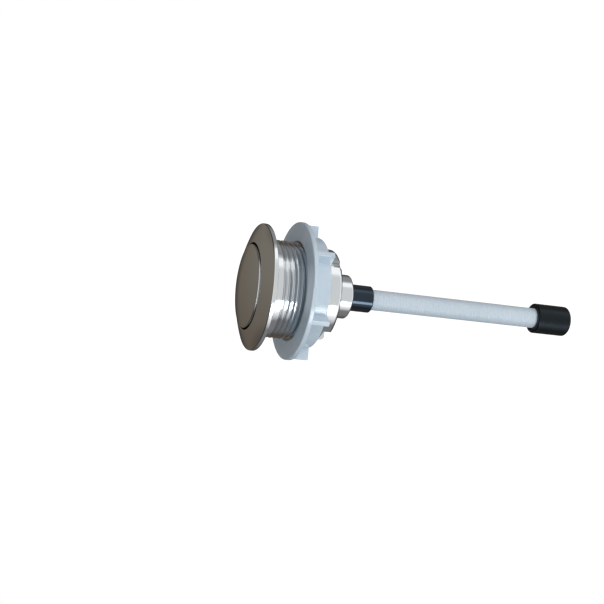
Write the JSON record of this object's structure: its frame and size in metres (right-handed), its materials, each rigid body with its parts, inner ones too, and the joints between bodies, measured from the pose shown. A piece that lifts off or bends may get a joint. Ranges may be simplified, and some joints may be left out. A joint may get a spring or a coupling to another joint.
{
  "type": "push button cistern actuator",
  "caption": "Chromed push button for a cistern lid: domed button in a flanged threaded barrel with a finned back nut, and a screw-in plastic push rod with a rubber tip.",
  "frame": {"origin": "on the axis, in the plane of the flange's underside, which sits on the cistern lid", "axes": "+Z along the axis towards the button's face; -X faces the flat in the barrel's tail"},
  "size_m": [0.056, 0.056, 0.1468],
  "materials": {
    "chrome": "polished plating over metal",
    "black_plastic": "glossy moulded",
    "steel": "plain drawn wire",
    "rod_plastic": "satin, pale blue grey",
    "tip_rubber": "satin moulded",
    "nut_plastic": "satin, light blue grey"
  },
  "bodies": {
    "body": {"bezel_body": "chrome", "return_spring": "steel"},
    "button": {"push_button": "chrome", "plunger": "black_plastic", "button_screw": "steel"},
    "tip": {"end_cap": "tip_rubber"},
    "rod": {"threaded_rod": "rod_plastic"},
    "backnut": {"backnut": "nut_plastic"}
  },
  "joints": [
    {"name": "button_press", "type": "slide", "parent": "body", "child": "button", "axis": [0, 0, -1], "range_m": [0, 0.008], "stiffness_N_per_m": 600, "springref_m": -0.008, "deforming": ["return_spring"]},
    {"name": "rod_travel", "type": "slide", "parent": "button", "child": "tip", "axis": [0, 0, 1], "range_m": [-0.01, 0.016]},
    {"name": "rod_turn", "type": "hinge", "parent": "tip", "child": "rod", "pos_m": [0, 0, -0.08325], "axis": [0, 0, 1], "range_deg": [-2885, 4613]},
    {"name": "backnut_travel", "type": "slide", "parent": "body", "child": "backnut", "axis": [0, 0, 1], "range_m": [-0.003, 0.01]}
  ],
  "couplings": [
    {"joint": "rod_turn", "follows": "rod_travel", "rad_per_m": 5026.5}
  ]
}
